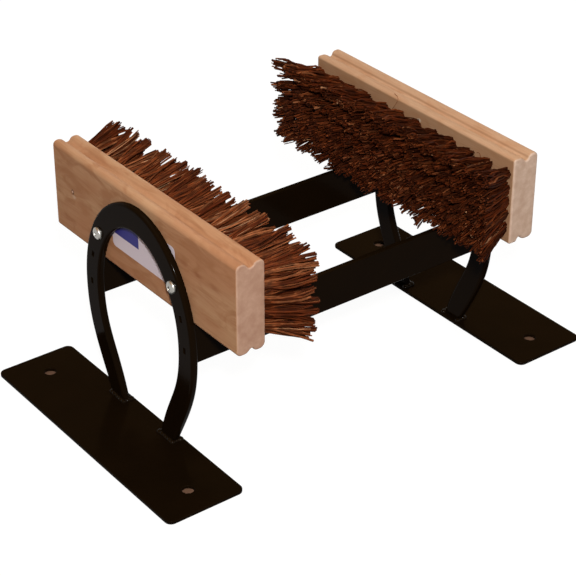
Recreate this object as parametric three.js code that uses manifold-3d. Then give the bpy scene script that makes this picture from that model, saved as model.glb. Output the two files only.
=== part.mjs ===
// Boot scraper: two base plates, each with a horseshoe standing on it, joined by two scraper bars.
// A scrubbing brush is screwed to the inboard face of each horseshoe, bristles towards the middle.
import * as THREE from 'three';
import { mergeVertices } from 'three/addons/utils/BufferGeometryUtils.js';
import Module from 'manifold-3d';

const wasm = await Module();
wasm.setup();

// Millimetres. X runs along the scraper bars, Y along the base plates, Z up.
// The origin is on the ground, in the middle of the part.

// Base plates, cut from flat bar
const plateLength = 254;
const plateWidth = 69.85;
const plateThickness = 3.2;
const plateGap = 284.5; // between the inboard edges of the two plates
const plateCornerRadius = 6;
const anchorHoleDiameter = 9.5;
const anchorHoleInset = 26; // hole centre from the plate's end

// Horseshoes, toe up and heels on the plate
const shoeWidth = 149.1;
const shoeHeight = 189.4;
const shoeThickness = 6.35;
const shoeWidestHeight = 93.7;
const shoeBranchWeb = 19.05; // width of the bar of the shoe at its widest height
const shoeToeWeb = 20.8;
const shoeSetback = 4; // inboard face of the shoe behind the plate's inboard edge
const shoeEdgeRadius = 1.5;
const heelGap = 52.2;
const heelWeb = 17.9;
const outerHeelSlope = 0.51; // sideways run for each unit of height
const innerHeelSlope = 0.28;
const outerSideHandle = 37.2; // how far each branch curve keeps its end direction
const outerHeelHandle = 39.6;
const innerSideHandle = 41.3;
const innerHeelHandle = 43.6;
const nailHoleHeights = [122.6, 96.4]; // above the heels
const nailHoleLength = 5.4;
const nailHoleWidth = 3.2;

// Scraper bars on edge between the two shoes
const barHeight = 35;
const barThickness = 4.8;
const barClearance = 82.8; // bar's lower edge above the heels

// Brush blocks with moulded long edges
const blockLength = 250;
const blockHeight = 76.2;
const blockThickness = 25.4;
const blockRise = 158; // middle of the block above the heels, as the mean of the two ends
const brushStep = 2; // how much higher the right brush is screwed on than the left one
const blockEndRadius = 0.8;
const backCornerRadius = 3.5;
const faceCornerRadius = 3;
const coveRadius = 3.2;
const coveDepth = 4.3;
const coveWallAngle = 65; // degrees, steepest slope of the cove's sides
const coveSetback = 11.5; // middle of the cove behind the bristle face
const faceRidgeDrop = 1.3; // the ridge beside the bristles stands lower than the back one

// Bristles, set as tufts in the bristle face
const tuftColumns = 12;
const tuftRows = 5;
const tuftEndMargin = 8; // outermost tuft's centre from the block's end
const tuftSideMargin = 15;
const strandsPerTuft = 4;
const tuftRootRadius = 2.6;
const tuftTipSpreadY = 7.2; // from a tuft's middle to its strand tips
const tuftTipSpreadZ = 4.8;
const tuftScatter = 0.4;
const strandRootRadius = 1.6;
const strandTipRadius = 1.5;
const strandRootDepth = 1;
const bristleTrim = 40;
const trimScatter = 2.5;
const rowLean = 0.24; // sideways run of the outermost tufts for each unit of trim
const columnLean = 0.25;
const tuftedSlice = 2.4; // slice of the block's face that carries the tufts

// Pan-head screws that hold the brushes to the shoes
const screwRise = 146; // above the heels
const screwHeadDiameter = 10.4;
const screwHeadHeight = 3.4;
const screwHeadRim = 0.9;
const screwShankDiameter = 4.2;
const screwLength = 24;
const screwPoint = 4;
const recessLength = 5.4;
const recessWidth = 1.2;
const recessDepth = 1.5;
const screwClearance = 0.4;

// Weld beads
const heelBeadRadius = 3;
const barBeadRadius = 3;
const beadStep = 2.6;
const weldClearance = 0.3;

const curveSteps = 12;
const coveSteps = 4;
const holeSides = 24;
const screwSides = 16;
const domeSteps = 4;
const beadSides = 8;
const strandSides = 3;
const scatterSeed = 7;

// Places that follow from the sizes
const plateInboardX = plateGap / 2;
const shoeInboardX = plateInboardX + shoeSetback;
const shoeOutboardX = shoeInboardX + shoeThickness;
const bristleFaceX = shoeInboardX - blockThickness;
const barCentreRise = barClearance + barHeight / 2;

function toSolid(geometry) {
  const bare = geometry.clone();
  bare.deleteAttribute('normal');
  bare.deleteAttribute('uv');
  const merged = mergeVertices(bare);
  return new wasm.Manifold(new wasm.Mesh({
    numProp: 3,
    vertProperties: new Float32Array(merged.attributes.position.array),
    triVerts: new Uint32Array(merged.index.array),
  }));
}

function toGeometry(solid) {
  const mesh = solid.getMesh();
  const geometry = new THREE.BufferGeometry();
  geometry.setAttribute('position', new THREE.BufferAttribute(mesh.vertProperties, 3));
  geometry.setIndex(new THREE.BufferAttribute(mesh.triVerts, 1));
  geometry.computeVertexNormals();
  return geometry;
}

// A box from one corner to the other
function boxBetween(low, high) {
  const size = high.clone().sub(low);
  const centre = low.clone().add(high).multiplyScalar(0.5);
  return toSolid(new THREE.BoxGeometry(size.x, size.y, size.z).translate(centre.x, centre.y, centre.z));
}

// Turns a shape drawn in XY and extruded along Z to stand in YZ with its thickness along X
function standUp(geometry) {
  return geometry.rotateX(Math.PI / 2).rotateZ(Math.PI / 2);
}

// Drops points that rounding has set beside the one before
function distinct(points) {
  return points.filter((point, i) => i === 0 || point.distanceTo(points[i - 1]) > 0.001);
}

function plateGeometry() {
  const halfWidth = plateWidth / 2;
  const halfLength = plateLength / 2;
  const radius = plateCornerRadius;
  const shape = new THREE.Shape();
  shape.moveTo(halfWidth - radius, -halfLength);
  shape.absarc(halfWidth - radius, radius - halfLength, radius, -Math.PI / 2, 0, false);
  shape.absarc(halfWidth - radius, halfLength - radius, radius, 0, Math.PI / 2, false);
  shape.absarc(radius - halfWidth, halfLength - radius, radius, Math.PI / 2, Math.PI, false);
  shape.absarc(radius - halfWidth, radius - halfLength, radius, Math.PI, Math.PI * 1.5, false);
  for (const end of [-1, 1]) {
    const hole = new THREE.Path();
    hole.absarc(0, end * (halfLength - anchorHoleInset), anchorHoleDiameter / 2, 0, Math.PI * 2, true);
    shape.holes.push(hole);
  }
  return new THREE.ExtrudeGeometry(shape, {
    depth: plateThickness,
    bevelEnabled: false,
    curveSegments: holeSides / 2,
  });
}

// Half-widths of a shoe's outer and inner edges above its widest height, where both are elliptical
function outerHalfWidth(height) {
  const rise = shoeHeight - shoeWidestHeight;
  return (shoeWidth / 2) * Math.sqrt(1 - ((height - shoeWidestHeight) / rise) ** 2);
}

function innerHalfWidth(height) {
  const rise = shoeHeight - shoeToeWeb - shoeWidestHeight;
  return (shoeWidth / 2 - shoeBranchWeb) * Math.sqrt(1 - ((height - shoeWidestHeight) / rise) ** 2);
}

// Middle of the shoe's bar at a height, and its lean from upright there
function branchCentre(height) {
  return (outerHalfWidth(height) + innerHalfWidth(height)) / 2;
}

function branchLean(height) {
  const step = 1;
  return Math.atan2(branchCentre(height + step) - branchCentre(height - step), 2 * step);
}

// The shoe's outline, swollen by a clearance where a weld is cut to fit round it
function shoeShape(swell) {
  const outer = shoeWidth / 2 + swell;
  const inner = shoeWidth / 2 - shoeBranchWeb - swell;
  const outerRise = shoeHeight - shoeWidestHeight + swell;
  const innerRise = shoeHeight - shoeToeWeb - shoeWidestHeight - swell;
  const heelInner = heelGap / 2 - swell;
  const heelOuter = heelGap / 2 + heelWeb + swell;
  const outerHandleX = heelOuter + outerHeelSlope * outerHeelHandle;
  const innerHandleX = heelInner + innerHeelSlope * innerHeelHandle;
  const outerHandleY = shoeWidestHeight - outerSideHandle;
  const innerHandleY = shoeWidestHeight - innerSideHandle;
  const shape = new THREE.Shape();
  shape.moveTo(heelOuter, 0);
  shape.bezierCurveTo(outerHandleX, outerHeelHandle, outer, outerHandleY, outer, shoeWidestHeight);
  shape.absellipse(0, shoeWidestHeight, outer, outerRise, 0, Math.PI, false);
  shape.bezierCurveTo(-outer, outerHandleY, -outerHandleX, outerHeelHandle, -heelOuter, 0);
  shape.lineTo(-heelInner, 0);
  shape.bezierCurveTo(-innerHandleX, innerHeelHandle, -inner, innerHandleY, -inner, shoeWidestHeight);
  shape.absellipse(0, shoeWidestHeight, inner, innerRise, Math.PI, 0, true);
  shape.bezierCurveTo(inner, innerHandleY, innerHandleX, innerHeelHandle, heelInner, 0);
  return shape;
}

// The shoe's own frame: X from its inboard face outboard, Z from its heels up
function shoeGeometry() {
  const blank = new THREE.ExtrudeGeometry(shoeShape(0), {
    depth: shoeThickness - 2 * shoeEdgeRadius,
    bevelEnabled: true,
    bevelThickness: shoeEdgeRadius,
    bevelSize: shoeEdgeRadius,
    bevelOffset: -shoeEdgeRadius,
    bevelSegments: 2,
    curveSegments: curveSteps,
  });
  let shoe = toSolid(standUp(blank.translate(0, 0, shoeEdgeRadius)));
  const reach = shoeThickness * 2;
  for (const side of [-1, 1]) {
    for (const height of nailHoleHeights) {
      const punch = new THREE.BoxGeometry(reach, nailHoleWidth, nailHoleLength);
      punch.rotateX(-side * branchLean(height));
      punch.translate(shoeThickness / 2, side * branchCentre(height), height);
      shoe = shoe.subtract(toSolid(punch));
    }
    const radius = screwShankDiameter / 2 + screwClearance;
    const drill = new THREE.CylinderGeometry(radius, radius, reach, screwSides).rotateZ(Math.PI / 2);
    drill.translate(shoeThickness / 2, side * branchCentre(screwRise), screwRise);
    shoe = shoe.subtract(toSolid(drill));
  }
  return toGeometry(shoe);
}

// A run of overlapping drops along a path of points, as a weld bead is laid
function beadSolid(points, radius) {
  let bead = null;
  for (let i = 0; i + 1 < points.length; i++) {
    const drops = Math.max(1, Math.round(points[i].distanceTo(points[i + 1]) / beadStep));
    for (let k = i === 0 ? 0 : 1; k <= drops; k++) {
      const place = points[i].clone().lerp(points[i + 1], k / drops);
      const ball = new THREE.SphereGeometry(radius, beadSides, beadSides - 2);
      const drop = toSolid(ball.translate(place.x, place.y, place.z));
      bead = bead ? bead.add(drop) : drop;
    }
  }
  return bead;
}

// Bead round the three outer sides of one heel, in the shoe's own frame
function heelBeadGeometry(side) {
  const startX = heelBeadRadius + weldClearance - shoeSetback;
  const innerY = side * (heelGap / 2);
  const outerY = side * (heelGap / 2 + heelWeb);
  const run = [
    new THREE.Vector3(startX, outerY, 0),
    new THREE.Vector3(shoeThickness, outerY, 0),
    new THREE.Vector3(shoeThickness, innerY, 0),
    new THREE.Vector3(startX, innerY, 0),
  ];
  const swollen = new THREE.ExtrudeGeometry(shoeShape(weldClearance), {
    depth: shoeThickness + 2 * weldClearance,
    bevelEnabled: false,
    curveSegments: curveSteps,
  });
  const reach = shoeWidth;
  const abovePlate = boxBetween(new THREE.Vector3(-reach, -reach, 0), new THREE.Vector3(reach, reach, reach));
  const heel = toSolid(standUp(swollen.translate(0, -weldClearance, -weldClearance)));
  return toGeometry(beadSolid(run, heelBeadRadius).intersect(abovePlate).subtract(heel));
}

// Upright bead in the corner between a bar's inner side and the shoe's inboard face, in the shoe's frame
function barBeadGeometry(side) {
  const cornerY = side * (branchCentre(barCentreRise) - barThickness / 2);
  const run = [
    new THREE.Vector3(0, cornerY, barClearance + barBeadRadius),
    new THREE.Vector3(0, cornerY, barClearance + barHeight - barBeadRadius),
  ];
  const reach = side * barBeadRadius * 2;
  const corner = boxBetween(
    new THREE.Vector3(-barBeadRadius * 2, Math.min(cornerY, cornerY - reach), barClearance),
    new THREE.Vector3(0, Math.max(cornerY, cornerY - reach), barClearance + barHeight),
  );
  return toGeometry(beadSolid(run, barBeadRadius).intersect(corner));
}

// Draws one moulded long edge from the bristle face to the back, for the top (1) or the bottom (-1)
function edgePoints(side) {
  const crest = blockHeight / 2;
  const ridge = crest - faceRidgeDrop;
  const wall = THREE.MathUtils.degToRad(coveWallAngle);
  const bend = 1 - Math.cos(wall);
  const faceSpan = (coveDepth - faceRidgeDrop) / bend; // radii of the cove and its shoulder together
  const backSpan = coveDepth / bend;
  const faceShoulder = faceSpan - coveRadius;
  const backShoulder = backSpan - coveRadius;
  const faceShoulderX = coveSetback - faceSpan * Math.sin(wall);
  const backShoulderX = coveSetback + backSpan * Math.sin(wall);
  const backX = blockThickness - backCornerRadius;
  const quarter = Math.PI / 2;
  const down = Math.PI + quarter;
  const path = new THREE.Path();
  path.moveTo(0, ridge - faceCornerRadius);
  path.absarc(faceCornerRadius, ridge - faceCornerRadius, faceCornerRadius, Math.PI, quarter, true);
  path.absarc(faceShoulderX, ridge - faceShoulder, faceShoulder, quarter, quarter - wall, true);
  path.absarc(coveSetback, crest - coveDepth + coveRadius, coveRadius, down - wall, down + wall, false);
  path.absarc(backShoulderX, crest - backShoulder, backShoulder, quarter + wall, quarter, true);
  path.absarc(backX, crest - backCornerRadius, backCornerRadius, quarter, 0, true);
  return distinct(path.getPoints(coveSteps)).map((point) => new THREE.Vector2(point.x, side * point.y));
}

// The block's own frame: X from the bristle face to the back, Y along it, Z from its middle up
function blockBlank() {
  const outline = [...edgePoints(1), ...edgePoints(-1).reverse()];
  const blank = new THREE.ExtrudeGeometry(new THREE.Shape(outline), {
    depth: blockLength - 2 * blockEndRadius,
    bevelEnabled: true,
    bevelThickness: blockEndRadius,
    bevelSize: blockEndRadius,
    bevelOffset: -blockEndRadius,
    bevelSegments: 1,
  });
  blank.translate(0, 0, blockEndRadius - blockLength / 2);
  return toSolid(blank.rotateX(Math.PI / 2));
}

function faceSlab() {
  const reach = blockLength;
  return boxBetween(new THREE.Vector3(-reach, -reach, -reach), new THREE.Vector3(tuftedSlice, reach, reach));
}

// The block behind the tufted slice, with blind pilot holes for its two screws. The lift is how far
// this end's brush is screwed on above the mean.
function blockGeometry(lift) {
  let block = blockBlank().subtract(faceSlab());
  const depth = screwLength - shoeThickness + screwClearance;
  const radius = screwShankDiameter / 2 + screwClearance;
  for (const side of [-1, 1]) {
    const pilot = new THREE.CylinderGeometry(radius, radius, depth * 2, screwSides).rotateZ(Math.PI / 2);
    pilot.translate(blockThickness, side * branchCentre(screwRise), screwRise - blockRise - lift);
    block = block.subtract(toSolid(pilot));
  }
  return toGeometry(block);
}

// Repeatable scatter between -1 and 1
function makeScatter(seed) {
  let state = seed;
  return () => {
    state = (state * 1664525 + 1013904223) % 4294967296;
    return (state / 4294967296) * 2 - 1;
  };
}

// All strands as separate three-sided tapers; their lean grows outwards, so that none cross
function strandsGeometry() {
  const scatter = makeScatter(scatterSeed);
  const positions = [];
  const indices = [];
  const columnStep = (blockLength - 2 * tuftEndMargin) / (tuftColumns - 1);
  const rowStep = (blockHeight - 2 * tuftSideMargin) / (tuftRows - 1);
  for (let row = 0; row < tuftRows; row++) {
    for (let column = 0; column < tuftColumns; column++) {
      const across = (2 * column) / (tuftColumns - 1) - 1;
      const up = (2 * row) / (tuftRows - 1) - 1;
      const rootY = (across * columnStep * (tuftColumns - 1)) / 2;
      const rootZ = (up * rowStep * (tuftRows - 1)) / 2;
      for (let strand = 0; strand < strandsPerTuft; strand++) {
        const turn = ((strand + 0.5) / strandsPerTuft) * Math.PI * 2;
        const trim = bristleTrim + trimScatter * scatter();
        const leanY = columnLean * across * Math.abs(across) * trim;
        const leanZ = rowLean * up * trim;
        const root = [rootY + tuftRootRadius * Math.cos(turn), rootZ + tuftRootRadius * Math.sin(turn)];
        const tipY = rootY + leanY + (tuftTipSpreadY + tuftScatter * scatter()) * Math.cos(turn);
        const tipZ = rootZ + leanZ + (tuftTipSpreadZ + tuftScatter * scatter()) * Math.sin(turn);
        const first = positions.length / 3;
        const ring = (x, centre, radius) => {
          for (let side = 0; side < strandSides; side++) {
            const angle = turn + (side / strandSides) * Math.PI * 2;
            positions.push(x, centre[0] + radius * Math.cos(angle), centre[1] + radius * Math.sin(angle));
          }
        };
        ring(strandRootDepth, root, strandRootRadius);
        ring(-trim, [tipY, tipZ], strandTipRadius);
        indices.push(first, first + 1, first + 2, first + 5, first + 4, first + 3);
        for (let side = 0; side < strandSides; side++) {
          const near = first + side;
          const next = first + ((side + 1) % strandSides);
          indices.push(near, near + strandSides, next, next, near + strandSides, next + strandSides);
        }
      }
    }
  }
  const geometry = new THREE.BufferGeometry();
  geometry.setAttribute('position', new THREE.BufferAttribute(new Float32Array(positions), 3));
  geometry.setIndex(indices);
  return geometry;
}

function bristlesGeometry() {
  const slice = blockBlank().intersect(faceSlab());
  return toGeometry(slice.add(toSolid(strandsGeometry())));
}

// Pan-head wood screw with a cross recess; X points out of the head from its seat
function screwGeometry() {
  const headRadius = screwHeadDiameter / 2;
  const shankRadius = screwShankDiameter / 2;
  const profile = [
    new THREE.Vector2(0, -screwLength),
    new THREE.Vector2(shankRadius, screwPoint - screwLength),
    new THREE.Vector2(shankRadius, 0),
    new THREE.Vector2(headRadius, 0),
    new THREE.Vector2(headRadius, screwHeadRim),
  ];
  for (let i = 1; i < domeSteps; i++) {
    const angle = (i / domeSteps) * (Math.PI / 2);
    const height = screwHeadRim + (screwHeadHeight - screwHeadRim) * Math.sin(angle);
    profile.push(new THREE.Vector2(headRadius * Math.cos(angle), height));
  }
  profile.push(new THREE.Vector2(0, screwHeadHeight));
  let screw = toSolid(new THREE.LatheGeometry(profile, screwSides));
  for (const turn of [0, Math.PI / 2]) {
    const arm = new THREE.BoxGeometry(recessLength, 2 * recessDepth, recessWidth).rotateY(turn);
    screw = screw.subtract(toSolid(arm.translate(0, screwHeadHeight, 0)));
  }
  return toGeometry(screw).rotateZ(-Math.PI / 2);
}

const blackPaint = { color: 0x1c1713, roughness: 0.3, metalness: 0.2 };
const bareWood = { color: 0xcfa987, roughness: 0.65, metalness: 0 };
const stiffFibre = { color: 0x6f3c20, roughness: 0.75, metalness: 0 };
const zincPlate = { color: 0xc9c7c4, roughness: 0.3, metalness: 0.9 };

function addPiece(parent, name, geometry, look, x, y, z) {
  const mesh = new THREE.Mesh(geometry, new THREE.MeshStandardMaterial(look));
  mesh.name = name;
  mesh.position.set(x, y, z);
  parent.add(mesh);
}

// One end of the part, built for the +X side
function addEnd(parent, name, lift) {
  const plateX = plateInboardX + plateWidth / 2;
  const brushZ = plateThickness + blockRise + lift;
  addPiece(parent, `${name}_base_plate`, plateGeometry(), blackPaint, plateX, 0, 0);
  addPiece(parent, `${name}_horseshoe`, shoeGeometry(), blackPaint, shoeInboardX, 0, plateThickness);
  addPiece(parent, `${name}_brush_block`, blockGeometry(lift), bareWood, bristleFaceX, 0, brushZ);
  addPiece(parent, `${name}_bristles`, bristlesGeometry(), stiffFibre, bristleFaceX, 0, brushZ);
  for (const [label, side] of [['a', -1], ['b', 1]]) {
    const heelBead = heelBeadGeometry(side);
    addPiece(parent, `${name}_heel_weld_${label}`, heelBead, blackPaint, shoeInboardX, 0, plateThickness);
    const barBead = barBeadGeometry(side);
    addPiece(parent, `${name}_bar_weld_${label}`, barBead, blackPaint, shoeInboardX, 0, plateThickness);
    const screw = screwGeometry();
    const screwY = side * branchCentre(screwRise);
    const screwZ = plateThickness + screwRise;
    addPiece(parent, `${name}_brush_screw_${label}`, screw, zincPlate, shoeOutboardX, screwY, screwZ);
  }
}

const scraper = new THREE.Group();

const rightEnd = new THREE.Group();
addEnd(rightEnd, 'right', brushStep / 2);
scraper.add(rightEnd);

const leftEnd = new THREE.Group();
addEnd(leftEnd, 'left', -brushStep / 2);
leftEnd.rotation.z = Math.PI;
scraper.add(leftEnd);

for (const [name, side] of [['front_scraper_bar', -1], ['rear_scraper_bar', 1]]) {
  const bar = new THREE.BoxGeometry(2 * shoeInboardX, barThickness, barHeight);
  const barY = side * branchCentre(barCentreRise);
  addPiece(scraper, name, bar, blackPaint, 0, barY, plateThickness + barCentreRise);
}

export default scraper;
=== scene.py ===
import math
import random

import bmesh
import bpy
from mathutils import Matrix, Vector


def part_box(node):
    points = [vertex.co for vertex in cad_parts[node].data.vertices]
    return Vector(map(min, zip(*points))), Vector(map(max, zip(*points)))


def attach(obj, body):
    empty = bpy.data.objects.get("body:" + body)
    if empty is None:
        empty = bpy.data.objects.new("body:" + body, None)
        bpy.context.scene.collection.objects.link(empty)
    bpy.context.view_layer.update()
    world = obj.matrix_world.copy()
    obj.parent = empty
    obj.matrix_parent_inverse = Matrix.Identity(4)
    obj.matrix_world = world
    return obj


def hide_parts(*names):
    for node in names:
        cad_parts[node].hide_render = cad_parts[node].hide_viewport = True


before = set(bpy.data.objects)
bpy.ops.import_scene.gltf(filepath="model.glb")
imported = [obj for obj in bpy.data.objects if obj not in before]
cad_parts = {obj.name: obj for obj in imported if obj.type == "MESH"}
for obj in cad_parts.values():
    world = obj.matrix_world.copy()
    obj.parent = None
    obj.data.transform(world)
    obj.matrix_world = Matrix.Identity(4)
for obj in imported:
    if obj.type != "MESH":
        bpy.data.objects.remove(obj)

scene = bpy.context.scene
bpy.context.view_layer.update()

# Camera: a long lens, a little above the near left corner of the scraper.
# The view has no roll and no shift.
camera_azimuth = math.radians(-37.14)
camera_elevation = math.radians(31.14)
camera_distance = 1.5777
camera_aim = Vector((0.0146, 0.0268, 0.0498))
camera_focal_pixels = 1867.8
picture_width_pixels = 576
camera_sensor = 36

camera_data = bpy.data.cameras.new("camera")
camera_data.sensor_width = camera_sensor
camera_data.lens = camera_focal_pixels / picture_width_pixels * camera_sensor
camera_data.clip_start = 0.01
camera_back = Vector((
    math.sin(camera_azimuth) * math.cos(camera_elevation),
    -math.cos(camera_azimuth) * math.cos(camera_elevation),
    math.sin(camera_elevation),
))
camera = bpy.data.objects.new("camera", camera_data)
camera.location = camera_aim + camera_back * camera_distance
camera.rotation_euler = (-camera_back).to_track_quat("-Z", "Y").to_euler()
scene.collection.objects.link(camera)
scene.camera = camera
scene.view_settings.view_transform = "Standard"


# Light: a soft round lamp just above the lens is the main one, with a wide weak panel overhead and
# one low behind the scraper, which keeps its far sides readable.
# A catch light at the main lamp adds only the glints on rounded edges, welds and screw heads.
def add_panel(name, place, aim, colour, size, power, shape="SQUARE"):
    data = bpy.data.lights.new(name, "AREA")
    data.shape = shape
    data.size = size
    data.energy = power
    data.color = colour
    lamp = bpy.data.objects.new(name, data)
    lamp.location = place
    lamp.rotation_euler = (Vector(aim) - Vector(place)).to_track_quat("-Z", "Y").to_euler()
    scene.collection.objects.link(lamp)


lens_lamp_place = camera.location + Vector((0.02, -0.06, 0.2))
panel_aim = (0, 0, 0.1)
lamp_tone = (1, 0.97, 0.93)
panel_tone = (1, 0.96, 0.9)
catch_tone = (0.92, 0.96, 1)
add_panel("lens_lamp", lens_lamp_place, camera_aim, lamp_tone, size=0.12, power=26, shape="DISK")
add_panel("overhead_panel", (0.2, 0.1, 1.5), panel_aim, panel_tone, size=1.3, power=7.5)
add_panel("rear_panel", (0.9, 1.3, 0.6), panel_aim, panel_tone, size=0.9, power=11)
add_panel("catch_light", lens_lamp_place, camera_aim, catch_tone, size=0.09, power=42, shape="DISK")
bpy.data.objects["catch_light"].visible_diffuse = False
bpy.data.objects["rear_panel"].visible_glossy = False


def mix_colour(nodes, links, factor, first, second, blend="MIX"):
    mix = nodes.new("ShaderNodeMix")
    mix.data_type = "RGBA"
    mix.blend_type = blend
    for value, socket in ((first, mix.inputs["A"]), (second, mix.inputs["B"])):
        if isinstance(value, tuple):
            socket.default_value = (*value, 1)
        else:
            links.new(value, socket)
    if isinstance(factor, float):
        mix.inputs["Factor"].default_value = factor
    else:
        links.new(factor, mix.inputs["Factor"])
    return mix.outputs["Result"]


def map_range(nodes, links, value, low, high, new_low=0.0, new_high=1.0):
    node = nodes.new("ShaderNodeMapRange")
    node.inputs["From Min"].default_value = low
    node.inputs["From Max"].default_value = high
    node.inputs["To Min"].default_value = new_low
    node.inputs["To Max"].default_value = new_high
    links.new(value, node.inputs["Value"])
    return node.outputs["Result"]


def maths(nodes, links, operation, first, second):
    node = nodes.new("ShaderNodeMath")
    node.operation = operation
    for value, socket in ((first, node.inputs[0]), (second, node.inputs[1])):
        if isinstance(value, (int, float)):
            socket.default_value = value
        else:
            links.new(value, socket)
    return node.outputs[0]


def vector_maths(nodes, links, operation, first, second=None):
    node = nodes.new("ShaderNodeVectorMath")
    node.operation = operation
    for value, socket in ((first, node.inputs[0]), (second, node.inputs[1])):
        if isinstance(value, tuple):
            socket.default_value = value
        elif value is not None:
            links.new(value, socket)
    return node


def noise(nodes, links, place, scale, detail, distortion=0.0):
    node = nodes.new("ShaderNodeTexNoise")
    node.inputs["Scale"].default_value = scale
    node.inputs["Detail"].default_value = detail
    node.inputs["Distortion"].default_value = distortion
    links.new(place, node.inputs["Vector"])
    return node


# Colours as a dictionary of (place on the ramp: tone), in rising order
def colour_ramp(nodes, links, value, stops):
    ramp = nodes.new("ShaderNodeValToRGB")
    elements = ramp.color_ramp.elements
    first, *between, last = stops
    elements[0].position = first
    elements[1].position = last
    for position in between:
        elements.new(position)
    for element, tone in zip(elements, stops.values()):
        element.color = tone
    links.new(value, ramp.inputs["Fac"])
    return ramp.outputs["Color"]


# The end of a material: its shader over a relief of this depth
relief_depth = 0.0002


def add_surface(nodes, links, colour, roughness, shine, height, relief_strength):
    bump = nodes.new("ShaderNodeBump")
    bump.inputs["Strength"].default_value = relief_strength
    bump.inputs["Distance"].default_value = relief_depth
    shader = nodes.new("ShaderNodeBsdfPrincipled")
    shader.inputs["Specular IOR Level"].default_value = shine
    output = nodes.new("ShaderNodeOutputMaterial")
    links.new(height, bump.inputs["Height"])
    links.new(colour, shader.inputs["Base Color"])
    links.new(roughness, shader.inputs["Roughness"])
    links.new(bump.outputs["Normal"], shader.inputs["Normal"])
    links.new(shader.outputs[0], output.inputs["Surface"])


# The surroundings are white behind the part and in what its paint and zinc mirror, with a tan
# ceiling high above. They fill the shadows with a soft grey.
shadow_fill = (0.24, 0.215, 0.19, 1)
backdrop_tone = (1.0, 1.0, 1.0)
ceiling_tone = (0.75, 0.42, 0.19)
ceiling_start = 0.30
ceiling_full = 0.42
world = bpy.data.worlds.new("surroundings")
world.use_nodes = True
scene.world = world
nodes = world.node_tree.nodes
links = world.node_tree.links
nodes.clear()
fill = nodes.new("ShaderNodeBackground")
fill.inputs["Color"].default_value = shadow_fill
seen = nodes.new("ShaderNodeBackground")
height = nodes.new("ShaderNodeSeparateXYZ")
links.new(nodes.new("ShaderNodeTexCoord").outputs["Generated"], height.inputs[0])
ceiling = map_range(nodes, links, height.outputs["Z"], ceiling_start, ceiling_full)
backdrop = mix_colour(nodes, links, ceiling, backdrop_tone, ceiling_tone)
links.new(backdrop, seen.inputs["Color"])
pick = nodes.new("ShaderNodeMixShader")
output = nodes.new("ShaderNodeOutputWorld")


# 1 for a ray that comes from the camera, or that it sees by a reflection or through something clear
def seen_ray(nodes, links):
    ray = nodes.new("ShaderNodeLightPath").outputs
    mirrored = maths(nodes, links, "MAXIMUM", ray["Is Glossy Ray"], ray["Is Transmission Ray"])
    return maths(nodes, links, "MAXIMUM", ray["Is Camera Ray"], mirrored)


links.new(seen_ray(nodes, links), pick.inputs["Fac"])
links.new(fill.outputs[0], pick.inputs[1])
links.new(seen.outputs[0], pick.inputs[2])
links.new(pick.outputs[0], output.inputs["Surface"])


# Floor: a plain sheet under the feet. It is seen white, with a trace of the scraper's soft shadow,
# and in its own warm tone only through the anchor holes.
floor_reach = 6.0
floor_gap = 0.0001
floor_tone = (0.135, 0.075, 0.049, 1)
shadow_keeper_tone = (0.9, 0.9, 0.9, 1)
floor_glow = 1.04
floor_glow_share = 0.9
anchor_hole_inset = 0.026
anchor_hole_sight = 0.0062


def new_material(name):
    material = bpy.data.materials.new(name)
    material.use_nodes = True
    material.node_tree.nodes.clear()
    return material, material.node_tree.nodes, material.node_tree.links


def finish_piece(name, mesh, material):
    piece = bpy.data.objects.new(name, mesh)
    mesh.materials.clear()
    mesh.materials.append(material)
    scene.collection.objects.link(piece)
    return piece


floor_mesh = bpy.data.meshes.new("floor")
bm = bmesh.new()
bmesh.ops.create_grid(bm, x_segments=1, y_segments=1, size=floor_reach)
bmesh.ops.translate(bm, verts=bm.verts, vec=(0, 0, -floor_gap))
bm.to_mesh(floor_mesh)
bm.free()
floor_paint, nodes, links = new_material("floor")
own_tone = nodes.new("ShaderNodeBsdfDiffuse")
own_tone.inputs["Color"].default_value = floor_tone
shadow_keeper = nodes.new("ShaderNodeBsdfDiffuse")
shadow_keeper.inputs["Color"].default_value = shadow_keeper_tone
glow = nodes.new("ShaderNodeEmission")
glow.inputs["Strength"].default_value = floor_glow
whitened = nodes.new("ShaderNodeMixShader")
whitened.inputs["Fac"].default_value = floor_glow_share
place = nodes.new("ShaderNodeTexCoord").outputs["Object"]
folded = vector_maths(nodes, links, "ABSOLUTE", place).outputs[0]
plate_low, plate_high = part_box("right_base_plate")
hole = ((plate_low.x + plate_high.x) / 2, plate_high.y - anchor_hole_inset, floor_gap)
hole_distance = vector_maths(nodes, links, "DISTANCE", folded, hole).outputs["Value"]
clear_of_holes = maths(nodes, links, "GREATER_THAN", hole_distance, anchor_hole_sight)
seen_white = maths(nodes, links, "MULTIPLY", seen_ray(nodes, links), clear_of_holes)
pick = nodes.new("ShaderNodeMixShader")
output = nodes.new("ShaderNodeOutputMaterial")
links.new(shadow_keeper.outputs[0], whitened.inputs[1])
links.new(glow.outputs[0], whitened.inputs[2])
links.new(seen_white, pick.inputs["Fac"])
links.new(own_tone.outputs[0], pick.inputs[1])
links.new(whitened.outputs[0], pick.inputs[2])
links.new(pick.outputs[0], output.inputs["Surface"])
floor = finish_piece("floor", floor_mesh, floor_paint)

# Foot plates: two lengths of flat steel bar with rounded corners and two punched anchor holes,
# enamelled black after welding. The edges are slightly rounded by the shears and the paint.
plate_edge_round = 0.0008
merge_distance = 0.000002
profile_merge_distance = 0.00001
flat_angle = math.radians(0.5)
corner_angle = math.radians(60)
corner_steps = 3


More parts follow.
